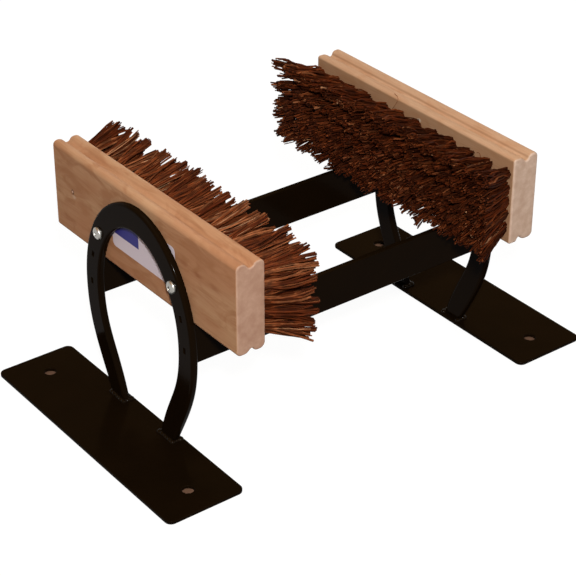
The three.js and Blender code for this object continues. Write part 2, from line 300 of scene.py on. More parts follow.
# A copy of a frame piece with its loose triangles merged, its flat faces whole again and its
# corners sharper than 60 degrees rounded by a small radius
def rounded_copy(node, radius):
    mesh = bpy.data.meshes.new(node + "_shaped")
    bm = bmesh.new()
    bm.from_mesh(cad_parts[node].data)
    bmesh.ops.remove_doubles(bm, verts=bm.verts, dist=merge_distance)
    bmesh.ops.dissolve_limit(
        bm, angle_limit=flat_angle, verts=bm.verts, edges=bm.edges, delimit=set(),
    )
    corners = [e for e in bm.edges if e.calc_face_angle(0) > corner_angle]
    bmesh.ops.bevel(
        bm, geom=corners, offset=radius, segments=corner_steps, profile=0.5, affect="EDGES",
        material=-1,
    )
    bmesh.ops.recalc_face_normals(bm, faces=bm.faces)
    for face in bm.faces:
        face.smooth = True
    bm.to_mesh(mesh)
    bm.free()
    return mesh


def weigh_normals(piece):
    modifier = piece.modifiers.new("weigh_normals", "WEIGHTED_NORMAL")
    modifier.keep_sharp = True


# Black enamel: nearly black with a brown cast, glossy, with a fine orange peel and a thin film of
# dust that dulls it in patches. It lies thicker and shinier on the welds.
enamel_tone = (0.0050, 0.0027, 0.0010)
dusty_tone = (0.0082, 0.0040, 0.0013)
enamel_roughness = (0.09, 0.14)
peel_scale = 420
dust_scale = 28


def enamel_material(name, shine, peel_strength):
    enamel, nodes, links = new_material(name)
    place = nodes.new("ShaderNodeTexCoord").outputs["Object"]
    peel = noise(nodes, links, place, peel_scale, 2).outputs["Fac"]
    dust = noise(nodes, links, place, dust_scale, 5).outputs["Fac"]
    colour = mix_colour(nodes, links, dust, enamel_tone, dusty_tone)
    roughness = map_range(nodes, links, dust, 0.3, 0.7, *enamel_roughness)
    add_surface(nodes, links, colour, roughness, shine, peel, peel_strength)
    return enamel


enamel = enamel_material("black_enamel", shine=0.010, peel_strength=0.12)
for end in ("left", "right"):
    node = end + "_base_plate"
    plate = finish_piece(end + "_foot_plate", rounded_copy(node, plate_edge_round), enamel)
    weigh_normals(plate)
    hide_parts(node)
    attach(plate, "root")

# Horseshoes: flat bar with worn, rounded edges, bent toe up, with two punched nail holes in each
# branch and a drilled hole for each brush screw. The heels are welded to the foot plates.
shoe_width = 0.1491
shoe_height = 0.1894
shoe_widest_height = 0.0937
shoe_branch_web = 0.01905
shoe_toe_web = 0.0208
shoe_heel_gap = 0.0522
shoe_heel_web = 0.0179
outer_heel_slope = 0.51
inner_heel_slope = 0.28
outer_side_handle = 0.0372
outer_heel_handle = 0.0396
inner_side_handle = 0.0413
inner_heel_handle = 0.0436
shoe_edge_round = 0.0021
shoe_edge_steps = 5
nail_hole_heights = (0.1226, 0.0964)
nail_hole_length = 0.0054
nail_hole_width = 0.0032
screw_hole_rise = 0.146
screw_hole_radius = 0.0025
screw_hole_sides = 24
branch_steps = 26
toe_steps = 56
crease_angle = math.radians(50)


# One edge of the shoe as (sideways, height) points, from the right heel over the toe to the left
def shoe_edge(half_width, toe_rise, heel_x, slope, side_handle, heel_handle):
    heel = Vector((heel_x, 0))
    low_handle = Vector((heel_x + slope * heel_handle, heel_handle))
    high_handle = Vector((half_width, shoe_widest_height - side_handle))
    widest = Vector((half_width, shoe_widest_height))
    points = []
    for i in range(branch_steps + 1):
        t = i / branch_steps
        points.append(
            heel * (1 - t) ** 3 + low_handle * (3 * t * (1 - t) ** 2)
            + high_handle * (3 * t * t * (1 - t)) + widest * t ** 3
        )
    for i in range(1, toe_steps):
        turn = math.pi * i / toe_steps
        height = shoe_widest_height + toe_rise * math.sin(turn)
        points.append(Vector((half_width * math.cos(turn), height)))
    points += [Vector((-p.x, p.y)) for p in reversed(points[:branch_steps + 1])]
    return points


outer_edge = shoe_edge(
    shoe_width / 2, shoe_height - shoe_widest_height, shoe_heel_gap / 2 + shoe_heel_web,
    outer_heel_slope, outer_side_handle, outer_heel_handle,
)
inner_edge = shoe_edge(
    shoe_width / 2 - shoe_branch_web, shoe_height - shoe_toe_web - shoe_widest_height,
    shoe_heel_gap / 2, inner_heel_slope, inner_side_handle, inner_heel_handle,
)


# Middle of the branch and its lean from upright, at a height
def branch_at(height):
    pairs = [(o + i) / 2 for o, i in zip(outer_edge, inner_edge)]
    pairs = pairs[:len(pairs) // 2]
    for low, high in zip(pairs, pairs[1:]):
        if low.y <= height <= high.y:
            share = (height - low.y) / (high.y - low.y)
            return low.lerp(high, share).x, math.atan2(high.x - low.x, high.y - low.y)


# The mesh of an object with its modifiers applied; the object is removed
def baked_mesh(holder, name):
    bpy.context.view_layer.update()
    evaluated = holder.evaluated_get(bpy.context.evaluated_depsgraph_get())
    mesh = bpy.data.meshes.new_from_object(evaluated)
    mesh.name = name
    bpy.data.objects.remove(holder)
    return mesh


# A mesh with the pieces of a cutter taken out of it
def cut_mesh(mesh, cutter_bm, name):
    punch_mesh = bpy.data.meshes.new(name + "_punch")
    cutter_bm.to_mesh(punch_mesh)
    cutter_bm.free()
    punch = bpy.data.objects.new(name + "_punch", punch_mesh)
    holder = bpy.data.objects.new(name, mesh)
    scene.collection.objects.link(punch)
    scene.collection.objects.link(holder)
    cut = holder.modifiers.new("punched", "BOOLEAN")
    cut.operation = "DIFFERENCE"
    cut.solver = "EXACT"
    cut.use_self = True
    cut.object = punch
    baked = baked_mesh(holder, name)
    bpy.data.objects.remove(punch)
    return baked


def shoe_mesh(end):
    low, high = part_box(end + "_horseshoe")
    bm = bmesh.new()
    for p in outer_edge + inner_edge[::-1]:
        bm.verts.new((low.x, p.x, low.z + p.y))
    start = bm.faces.new(bm.verts)
    grown = bmesh.ops.extrude_face_region(bm, geom=[start])
    moved = [g for g in grown["geom"] if isinstance(g, bmesh.types.BMVert)]
    bmesh.ops.translate(bm, verts=moved, vec=(high.x - low.x, 0, 0))
    bmesh.ops.recalc_face_normals(bm, faces=bm.faces)
    rims = [e for e in bm.edges if e.verts[0].co.x == e.verts[1].co.x]
    bmesh.ops.bevel(
        bm, geom=rims, offset=shoe_edge_round, segments=shoe_edge_steps, profile=0.5,
        affect="EDGES", material=-1,
    )
    bmesh.ops.recalc_face_normals(bm, faces=bm.faces)
    mesh = bpy.data.meshes.new(end + "_shoe")
    bm.to_mesh(mesh)
    bm.free()
    punches = bmesh.new()
    reach = 3 * (high.x - low.x)
    middle_x = (low.x + high.x) / 2
    for side in (-1, 1):
        for height in nail_hole_heights:
            sideways, lean = branch_at(height)
            place = (middle_x, side * sideways, low.z + height)
            punch = bmesh.ops.create_cube(punches, size=1)["verts"]
            bmesh.ops.scale(punches, verts=punch, vec=(reach, nail_hole_width, nail_hole_length))
            bmesh.ops.rotate(
                punches, verts=punch, cent=(0, 0, 0), matrix=Matrix.Rotation(-side * lean, 3, "X"),
            )
            bmesh.ops.translate(punches, verts=punch, vec=place)
        sideways, lean = branch_at(screw_hole_rise)
        place = (middle_x, side * sideways, low.z + screw_hole_rise)
        drill = bmesh.ops.create_cone(
            punches, cap_ends=True, segments=screw_hole_sides, radius1=screw_hole_radius,
            radius2=screw_hole_radius, depth=reach, matrix=Matrix.Rotation(math.pi / 2, 4, "Y"),
        )["verts"]
        bmesh.ops.translate(punches, verts=drill, vec=place)
    mesh = cut_mesh(mesh, punches, end + "_shoe")
    for polygon in mesh.polygons:
        polygon.use_smooth = True
    mesh.set_sharp_from_angle(angle=crease_angle)
    return mesh


for end in ("left", "right"):
    node = end + "_horseshoe"
    shoe = finish_piece(end + "_shoe", shoe_mesh(end), enamel)
    weigh_normals(shoe)
    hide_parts(node)
    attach(shoe, "root")

# Scraper bars: flat bar set on edge and butt-welded between the two shoes.
bar_edge_round = 0.0008
for side in ("front", "rear"):
    node = side + "_scraper_bar"
    bar = finish_piece(side + "_bar", rounded_copy(node, bar_edge_round), enamel)
    weigh_normals(bar)
    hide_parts(node)
    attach(bar, "root")


# Weld beads: overlapping drops of metal round each heel and up each bar end, painted over.
# Each bead is a run of balls of uneven size melted into one skin.
heel_bead_radius = 0.003
bar_bead_radius = 0.003
drop_spacing = 0.0034
drop_sizes = (0.74, 0.98)
drop_shift = 0.12
skin_voxel = 0.00035
weld_enamel = enamel_material("weld_enamel", shine=0.05, peel_strength=0.12)


def weld_mesh(name, points, radius):
    shake = random.Random(name)
    bm = bmesh.new()
    for start, end in zip(points, points[1:]):
        drops = max(1, round((end - start).length / drop_spacing))
        for i in range(drops + 1):
            size = radius * shake.uniform(*drop_sizes)
            centre = start.lerp(end, i / drops)
            centre += Vector((shake.uniform(-1, 1), shake.uniform(-1, 1), 0)) * radius * drop_shift
            bmesh.ops.create_icosphere(
                bm, subdivisions=2, radius=size, matrix=Matrix.Translation(centre),
            )
    balls = bpy.data.meshes.new(name + "_balls")
    bm.to_mesh(balls)
    bm.free()
    holder = bpy.data.objects.new(name + "_balls", balls)
    scene.collection.objects.link(holder)
    melt = holder.modifiers.new("melt", "REMESH")
    melt.mode = "VOXEL"
    melt.voxel_size = skin_voxel
    relax = holder.modifiers.new("relax", "SMOOTH")
    relax.factor = 0.5
    relax.iterations = 1
    mesh = baked_mesh(holder, name)
    for polygon in mesh.polygons:
        polygon.use_smooth = True
    return mesh


def add_bead(node, run, radius):
    bead = finish_piece(node + "_bead", weld_mesh(node, run, radius), weld_enamel)
    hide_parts(node)
    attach(bead, "root")


for end in ("left", "right"):
    for label in ("a", "b"):
        node = f"{end}_heel_weld_{label}"
        low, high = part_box(node)
        inset = heel_bead_radius
        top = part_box(end + "_base_plate")[1].z
        outboard = high.x - inset if end == "right" else low.x + inset
        inboard = low.x + inset if end == "right" else high.x - inset
        run = [
            Vector((inboard, low.y + inset, top)),
            Vector((outboard, low.y + inset, top)),
            Vector((outboard, high.y - inset, top)),
            Vector((inboard, high.y - inset, top)),
        ]
        add_bead(node, run, heel_bead_radius)

        node = f"{end}_bar_weld_{label}"
        low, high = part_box(node)
        corner_x = high.x if end == "right" else low.x
        corner_y = high.y if high.y > 0 else low.y
        run = [
            Vector((corner_x, corner_y, low.z + bar_bead_radius)),
            Vector((corner_x, corner_y, high.z - bar_bead_radius)),
        ]
        add_bead(node, run, bar_bead_radius)

# Brush blocks: planks of bare hardwood with a cove run along the top and bottom edges, sawn off
# square and sanded round at the ends. The lobe at the back stands higher than the front ridge.
block_thickness = 0.0254
block_end_round = {"left": 0.0015, "right": 0.0020}
end_round_steps = 4
moulding = {
    ("left", "top"): {
        "face_corner": 0.0048, "face_drop": 0.0011, "face_angle": 58, "setback": 0.0126,
        "cove_radius": 0.0034, "depth": 0.0047, "back_angle": 60, "back_corner": 0.0040,
    },
    ("left", "bottom"): {
        "face_corner": 0.0052, "face_drop": 0.0000, "face_angle": 60, "setback": 0.0124,
        "cove_radius": 0.0022, "depth": 0.0032, "back_angle": 50, "back_corner": 0.0038,
    },
    ("right", "top"): {
        "face_corner": 0.0024, "face_drop": 0.0006, "face_angle": 50, "setback": 0.0132,
        "cove_radius": 0.0024, "depth": 0.0046, "back_angle": 74, "back_corner": 0.0045,
    },
    ("right", "bottom"): {
        "face_corner": 0.0022, "face_drop": 0.0000, "face_angle": 74, "setback": 0.0108,
        "cove_radius": 0.0020, "depth": 0.0035, "back_angle": 52, "back_corner": 0.0050,
    },
}
arc_steps = 9
stray_hole_place = (0.0977, 0.1634)
stray_hole_mouth = 0.00195
stray_hole_foot = 0.00078
stray_hole_depth = 0.004
stray_hole_sides = 20


def arc(centre_x, centre_z, radius, start, end):
    turns = [start + (end - start) * i / arc_steps for i in range(arc_steps + 1)]
    return [
        Vector((centre_x + radius * math.cos(a), centre_z + radius * math.sin(a))) for a in turns
    ]


# One moulded long edge, from the bristle face to the back, with its crest at the given height
def moulded_edge(crest, cut):
    ridge = crest - cut["face_drop"]
    face_angle, back_angle = math.radians(cut["face_angle"]), math.radians(cut["back_angle"])
    face_span = (cut["depth"] - cut["face_drop"]) / (1 - math.cos(face_angle))
    back_span = cut["depth"] / (1 - math.cos(back_angle))
    face_shoulder = face_span - cut["cove_radius"]
    back_shoulder = back_span - cut["cove_radius"]
    quarter = math.pi / 2
    down = 3 * quarter
    corner = cut["face_corner"]
    points = arc(corner, ridge - corner, corner, math.pi, quarter)
    points += arc(
        cut["setback"] - face_span * math.sin(face_angle), ridge - face_shoulder, face_shoulder,
        quarter, quarter - face_angle,
    )
    points += arc(
        cut["setback"], crest - cut["depth"] + cut["cove_radius"], cut["cove_radius"],
        down - face_angle, down + back_angle,
    )
    points += arc(
        cut["setback"] + back_span * math.sin(back_angle), crest - back_shoulder, back_shoulder,
        quarter + back_angle, quarter,
    )
    corner = cut["back_corner"]
    points += arc(block_thickness - corner, crest - corner, corner, quarter, 0)
    return points


def block_mesh(end):
    low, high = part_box(end + "_brush_block")
    middle_z = (low.z + high.z) / 2
    half_height = (high.z - low.z) / 2
    top_edge = moulded_edge(half_height, moulding[end, "top"])
    bottom_edge = moulded_edge(half_height, moulding[end, "bottom"])
    outline = top_edge + [Vector((p.x, -p.y)) for p in reversed(bottom_edge)]
    sign = 1 if end == "right" else -1
    face_x = high.x - block_thickness if end == "right" else -low.x - block_thickness
    bm = bmesh.new()
    for p in outline:
        bm.verts.new((sign * (face_x + p.x), low.y, middle_z + p.y))
    bmesh.ops.remove_doubles(bm, verts=bm.verts, dist=profile_merge_distance)
    bm.verts.ensure_lookup_table()
    start = bm.faces.new(bm.verts)
    grown = bmesh.ops.extrude_face_region(bm, geom=[start])
    moved = [g for g in grown["geom"] if isinstance(g, bmesh.types.BMVert)]
    bmesh.ops.translate(bm, verts=moved, vec=(0, high.y - low.y, 0))
    bmesh.ops.recalc_face_normals(bm, faces=bm.faces)
    rims = [e for e in bm.edges if e.verts[0].co.y == e.verts[1].co.y]
    bmesh.ops.bevel(
        bm, geom=rims, offset=block_end_round[end], segments=end_round_steps, profile=0.5,
        affect="EDGES", material=-1,
    )
    bmesh.ops.recalc_face_normals(bm, faces=bm.faces)
    mesh = bpy.data.meshes.new(end + "_block")
    bm.to_mesh(mesh)
    bm.free()
    if end == "left":
        punch = bmesh.new()
        bmesh.ops.create_cone(
            punch, cap_ends=True, segments=stray_hole_sides, radius1=stray_hole_foot,
            radius2=stray_hole_mouth, depth=2 * stray_hole_depth,
            matrix=Matrix.Rotation(-math.pi / 2, 4, "Y"),
        )
        bmesh.ops.translate(punch, verts=punch.verts, vec=(low.x, *stray_hole_place))
        mesh = cut_mesh(mesh, punch, end + "_block")
    for polygon in mesh.polygons:
        polygon.use_smooth = True
    mesh.set_sharp_from_angle(angle=crease_angle)
    return mesh


# Sawn hardwood grain as a group: soft bands, figure and fine lines drawn out along the plank, long
# pores, slow clouds of redder wood, and an even speckle and mottle for the sawn ends
grain = bpy.data.node_groups.new("sawn_grain", "ShaderNodeTree")
grain.interface.new_socket("Place", in_out="INPUT", socket_type="NodeSocketVector")
given = grain.nodes.new("NodeGroupInput")
result = grain.nodes.new("NodeGroupOutput")

# Each layer as (stretch along the plank, scale, detail, distortion)
grain_layers = {
    "Bands": (0.10, 70, 3, 0.8),
    "Lines": (0.045, 300, 3, 0.3),
    "Pores": (0.05, 900, 2, 0),
    "Clouds": (0.45, 22, 4, 1.0),
    "Figure": (0.38, 60, 5, 1.6),
    "Speckle": (1, 430, 3, 0),
    "Mottle": (1, 130, 3, 0),
}
for name, (stretch, scale, detail, distortion) in grain_layers.items():
    grain.interface.new_socket(name, in_out="OUTPUT", socket_type="NodeSocketFloat")
    drawn = grain.nodes.new("ShaderNodeMapping")
    drawn.inputs["Scale"].default_value = (1, stretch, 1)
    grain.links.new(given.outputs["Place"], drawn.inputs["Vector"])
    layer = noise(grain.nodes, grain.links, drawn.outputs[0], scale, detail, distortion)
    grain.links.new(layer.outputs["Fac"], result.inputs[name])

# A soft mark of uneven outline at a place, as a group that puts out its mask
mark_scale = 1.3
mark_wander = 1.1
mark_core = 0.1
mark = bpy.data.node_groups.new("soft_mark", "ShaderNodeTree")
for name in ("Place", "Centre", "Reach"):
    mark.interface.new_socket(name, in_out="INPUT", socket_type="NodeSocketVector")
mark.interface.new_socket("Mask", in_out="OUTPUT", socket_type="NodeSocketFloat")
nodes = mark.nodes
links = mark.links
given = nodes.new("NodeGroupInput").outputs
result = nodes.new("NodeGroupOutput")
offset = vector_maths(nodes, links, "SUBTRACT", given["Place"], given["Centre"]).outputs[0]
share = vector_maths(nodes, links, "DIVIDE", offset, given["Reach"]).outputs[0]
wander = noise(nodes, links, share, mark_scale, 3).outputs["Color"]
ragged = nodes.new("ShaderNodeVectorMath")
ragged.operation = "MULTIPLY_ADD"
ragged.inputs[1].default_value = (0, mark_wander, mark_wander)
half_wander = (0, mark_wander / 2, mark_wander / 2)
centred = vector_maths(nodes, links, "SUBTRACT", ragged.outputs[0], half_wander).outputs[0]
span = vector_maths(nodes, links, "LENGTH", centred).outputs["Value"]
fade = nodes.new("ShaderNodeMapRange")
fade.interpolation_type = "SMOOTHERSTEP"
fade.inputs["From Min"].default_value = 1
fade.inputs["From Max"].default_value = mark_core
links.new(wander, ragged.inputs[0])
links.new(share, ragged.inputs[2])
links.new(span, fade.inputs["Value"])
links.new(fade.outputs["Result"], result.inputs["Mask"])


# A mask that is 1 inside a rectangle with rounded corners, drawn on the YZ plane
def rounded_patch(nodes, links, place, centre, half_size, corner, softness):
    offset = vector_maths(nodes, links, "SUBTRACT", place, (0, *centre)).outputs[0]
    flat = vector_maths(nodes, links, "MULTIPLY", offset, (0, 1, 1)).outputs[0]
    folded = vector_maths(nodes, links, "ABSOLUTE", flat).outputs[0]
    core = (1, half_size[0] - corner, half_size[1] - corner)
    beyond = vector_maths(nodes, links, "SUBTRACT", folded, core).outputs[0]
    clipped = vector_maths(nodes, links, "MAXIMUM", beyond, (0, 0, 0)).outputs[0]
    distance = vector_maths(nodes, links, "LENGTH", clipped).outputs["Value"]
    return map_range(nodes, links, distance, corner + softness, corner - softness)


# Bare wood for one block. End grain, told by the way a face points, is paler and greyer, with a
# fuzz of torn fibres along its edges. The left block carries a plain paper label with a blue panel.
pore_tone = (0.27, 0.125, 0.062)
# Painted shade for the right block's bristle face, which the bristles in front of it shade
painted_face_shade_tint = (0.68, 0.64, 0.58)
fuzz_tone = (0.58, 0.42, 0.30)
fuzz_strength = 0.12
wood_shine = 0.1
wood_relief_strength = 0.3
label_tone = (0.66, 0.59, 0.66)
label_roughness = 0.45
label_centre = (-0.0035, 0.160)
label_half_size = (0.0435, 0.018)
label_corner = 0.004
label_softness = 0.00015
panel_paint = (0.026, 0.024, 0.19)
panel_centre = (0.025, 0.1665)
panel_half_size = (0.022, 0.0125)
panel_corner = 0.0004


def wood_material(name, shift, tones, end_tones, marks, labelled):
    material, nodes, links = new_material(name)
    place = nodes.new("ShaderNodeTexCoord").outputs["Object"]
    moved = nodes.new("ShaderNodeMapping")
    moved.inputs["Location"].default_value = shift
    links.new(place, moved.inputs["Vector"])
    sawn = nodes.new("ShaderNodeGroup")
    sawn.node_tree = grain
    links.new(moved.outputs[0], sawn.inputs["Place"])
    light, dark, red, figured, line = tones
    banded = map_range(nodes, links, sawn.outputs["Bands"], 0.35, 0.7)
    colour = mix_colour(nodes, links, banded, light, dark)
    clouded = map_range(nodes, links, sawn.outputs["Clouds"], 0.45, 0.68, 0, 0.8)
    colour = mix_colour(nodes, links, clouded, colour, red)
    flamed = map_range(nodes, links, sawn.outputs["Figure"], 0.48, 0.64, 0, 0.62)
    colour = mix_colour(nodes, links, flamed, colour, figured)
    lined = map_range(nodes, links, sawn.outputs["Lines"], 0.5, 0.75, 0, 0.4)
    colour = mix_colour(nodes, links, lined, colour, line)
    pored = map_range(nodes, links, sawn.outputs["Pores"], 0.54, 0.75, 0, 0.3)
    colour = mix_colour(nodes, links, pored, colour, pore_tone)
    for y, z, reach_y, reach_z, strength, tone in marks:
        spot = nodes.new("ShaderNodeGroup")
        spot.node_tree = mark
        spot.inputs["Centre"].default_value = (0, y, z)
        spot.inputs["Reach"].default_value = (1, reach_y, reach_z)
        links.new(place, spot.inputs["Place"])
        spotted = maths(nodes, links, "MULTIPLY", spot.outputs["Mask"], strength)
        colour = mix_colour(nodes, links, spotted, colour, tone)
    split = nodes.new("ShaderNodeSeparateXYZ")
    links.new(nodes.new("ShaderNodeTexCoord").outputs["Normal"], split.inputs[0])
    # The right block's bristle face is darkened by a painted shade of the bristles in front of it
    if not labelled:
        face_shade = map_range(nodes, links, split.outputs["X"], -0.8, -0.98, 0, 0.75)
        colour = mix_colour(nodes, links, face_shade, colour, painted_face_shade_tint, "MULTIPLY")
    mottled = map_range(nodes, links, sawn.outputs["Mottle"], 0.35, 0.65)
    cut = mix_colour(nodes, links, mottled, *end_tones)
    speckled = map_range(nodes, links, sawn.outputs["Speckle"], 0.35, 0.65, 0, 0.4)
    cut = mix_colour(nodes, links, speckled, cut, end_tones[0])
    facing = maths(nodes, links, "ABSOLUTE", split.outputs["Y"], 0)
    at_end = map_range(nodes, links, facing, 0.25, 0.7)
    colour = mix_colour(nodes, links, at_end, colour, cut)
    off_side = map_range(nodes, links, facing, 0.2, 0.6)
    off_end = map_range(nodes, links, facing, 1.0, 0.8)
    fuzz = maths(nodes, links, "MULTIPLY", off_side, off_end)
    fuzz = maths(nodes, links, "MULTIPLY", fuzz, fuzz_strength)
    colour = mix_colour(nodes, links, fuzz, colour, fuzz_tone)
    height = mix_colour(nodes, links, 0.5, sawn.outputs["Pores"], sawn.outputs["Speckle"])
    roughness = map_range(nodes, links, sawn.outputs["Lines"], 0.3, 0.7, 0.6, 0.75)
    if labelled:
        back_facing = map_range(nodes, links, split.outputs["X"], -0.9, -0.98)
        paper = rounded_patch(
            nodes, links, place, label_centre, label_half_size, label_corner, label_softness,
        )
        paper = maths(nodes, links, "MULTIPLY", paper, back_facing)
        panel = rounded_patch(
            nodes, links, place, panel_centre, panel_half_size, panel_corner, label_softness,
        )
        label = mix_colour(nodes, links, panel, label_tone, panel_paint)
        colour = mix_colour(nodes, links, paper, colour, label)
        roughness = mix_colour(nodes, links, paper, roughness, (label_roughness,) * 3)
        height = mix_colour(nodes, links, paper, height, (1.0, 1.0, 1.0))
    add_surface(nodes, links, colour, roughness, wood_shine, height, wood_relief_strength)
    return material


streak_tone = (0.27, 0.105, 0.048)
stain_and_shade_tone = (0.33, 0.140, 0.062)
torn_tone = (0.52, 0.36, 0.25)
hole_shade_tone = (0.045, 0.020, 0.011)
nick_tone = (0.75, 0.66, 0.56)

# Marks as (y, z, reach along the plank, reach up, strength, tone)
wood_marks = {
    "left": [
        (-0.080, 0.1690, 0.045, 0.0060, 0.35, stain_and_shade_tone),
        (-0.097, 0.1683, 0.012, 0.0032, 0.55, streak_tone),
        (-0.076, 0.1690, 0.010, 0.0028, 0.75, streak_tone),
        (-0.057, 0.1712, 0.013, 0.0026, 0.50, streak_tone),
        (-0.108, 0.1480, 0.020, 0.0040, 0.35, stain_and_shade_tone),
        (-0.090, 0.1370, 0.026, 0.0050, 0.40, stain_and_shade_tone),
        (0.081, 0.155, 0.019, 0.0085, 0.60, stain_and_shade_tone),
        (0.070, 0.178, 0.024, 0.0070, 0.35, stain_and_shade_tone),
        (0.108, 0.136, 0.014, 0.0035, 0.40, streak_tone),
        # painted shade along the bottom edge of the back face, between the shoe's branches
        (0.003, 0.1305, 0.028, 0.0050, 0.70, stain_and_shade_tone),
        (0.0962, 0.1596, 0.0046, 0.0024, 0.9, torn_tone),
        # painted shade inside the stray hole
        (0.0977, 0.1634, 0.0032, 0.0032, 1.0, hole_shade_tone),
    ],
    "right": [
        (-0.0114, 0.1905, 0.0034, 0.0024, 1.0, nick_tone),
    ],
}

# Tones of the light and dark bands, the red clouds, the figure and the fine lines
wood_tones = {
    "left": (
        (0.475, 0.280, 0.155), (0.405, 0.210, 0.110), (0.400, 0.186, 0.092), (0.310, 0.132, 0.058),
        (0.350, 0.168, 0.078),
    ),
    "right": (
        (0.490, 0.302, 0.184), (0.462, 0.273, 0.160), (0.466, 0.262, 0.148), (0.430, 0.228, 0.120),
        (0.420, 0.225, 0.120),
    ),
}
end_grain_tones = {
    "left": ((0.365, 0.215, 0.150), (0.450, 0.290, 0.212)),
    "right": ((0.500, 0.355, 0.272), (0.620, 0.476, 0.382)),
}
grain_shift = {"left": (0.31, 0.12, 0.07), "right": (-0.22, 0.41, 0.16)}
for end in ("left", "right"):
    node = end + "_brush_block"
    wood = wood_material(
        end + "_wood", grain_shift[end], wood_tones[end], end_grain_tones[end], wood_marks[end],
        labelled=end == "left",
    )
    block = finish_piece(end + "_block", block_mesh(end), wood)
    weigh_normals(block)
    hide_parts(node)
    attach(block, "root")

# Bristles: stiff, flattened plant fibre in twelve by five tufts, each pinched into a blind hole and
# trimmed to one length. The outer tufts are drilled at a slant, so that the field fans out.
tuft_columns = 12
tuft_rows = 5
tuft_end_margin = 0.008
tuft_side_margin = 0.015
tuft_root_radius = 0.0048
locks_in_tuft = 8
fibres_in_lock = 8
trim = 0.039
trim_scatter = 0.0016
column_lean = 0.25
row_lean = {"left": (0.30, 0.17), "right": (0.13, 0.31)}
lean_scatter = 0.02
tuft_spread = {"left": (0.0124, 0.0088), "right": (0.0112, 0.0062)}
tuft_dome = 0.0012
lock_root_radius = 0.0016
lock_tip_radius = {"left": 0.0024, "right": 0.0032}
lock_trim_scatter = 0.0011
lock_scatter = 0.0008
lock_sag = 0.0012
lock_curl = {"left": 0.0014, "right": 0.0022}
golden_turn = 2.39996
turn_scatter = 0.3
fibre_width = 0.0018
fibre_thickness = 0.0010
fibre_sizes = (0.7, 1.15)
fibre_points = 6
fibre_root_depth = 0.002
fibre_scatter = 0.0003
fibre_bow = 0.0004
fibre_wave = {"left": 0.0004, "right": 0.0009}
fibre_twist = 0.5
fibre_tip_scatter = {"left": 0.0006, "right": 0.0010}
fibre_limit_y = 0.1385
fibre_limit_z = 0.2035
stray_share = 0.04
stray_scatter = 0.0025
stray_shortfall = (0.001, 0.006)
loose_fibre_size = 0.35
loose_fibre_tone = 0.8
tuft_contrast = 0.05
lock_contrast = 0.08
fibre_contrast = {"left": 0.18, "right": 0.23}
# Mean strand tone for each brush; the right brush is set darker as painted shade over its field of
# cut tips
fibre_tone_and_shade = {"left": 0.47, "right": 0.24}

fibre_section_curve = bpy.data.curves.new("fibre_section", "CURVE")
fibre_section_curve.dimensions = "2D"
section = fibre_section_curve.splines.new("POLY")
section.points.add(3)
section.use_cyclic_u = True
corners = ((1, 0.25), (-0.25, 1), (-1, -0.25), (0.25, -1))
for point, (x, y) in zip(section.points, corners):
    point.co = (x * fibre_width / 2, y * fibre_thickness / 2, 0, 1)
fibre_section = bpy.data.objects.new("fibre_section", fibre_section_curve)
scene.collection.objects.link(fibre_section)

# Loose fibres of the right brush, as paths of (distance in front of the bristle face, y, z)
loose_fibres = [
    (
        (0.0006, 0.0245, 0.1845), (0.0008, 0.0190, 0.1923), (0.0006, 0.0150, 0.1985),
        (-0.0010, 0.0175, 0.2005), (-0.0028, 0.0240, 0.2003),
    ),
    (
        (0.0006, -0.0050, 0.1905), (0.0014, -0.0120, 0.1880), (0.0018, -0.0200, 0.1853),
        (0.0016, -0.0290, 0.1815),
    ),
    (
        (0.0020, -0.0945, 0.1890), (0.0024, -0.0940, 0.1860), (0.0018, -0.0947, 0.1790),
    ),
    (
        (0.0006, -0.0825, 0.1895), (0.0010, -0.0845, 0.1912), (0.0014, -0.0875, 0.1900),
        (0.0020, -0.0890, 0.1865),
    ),
]


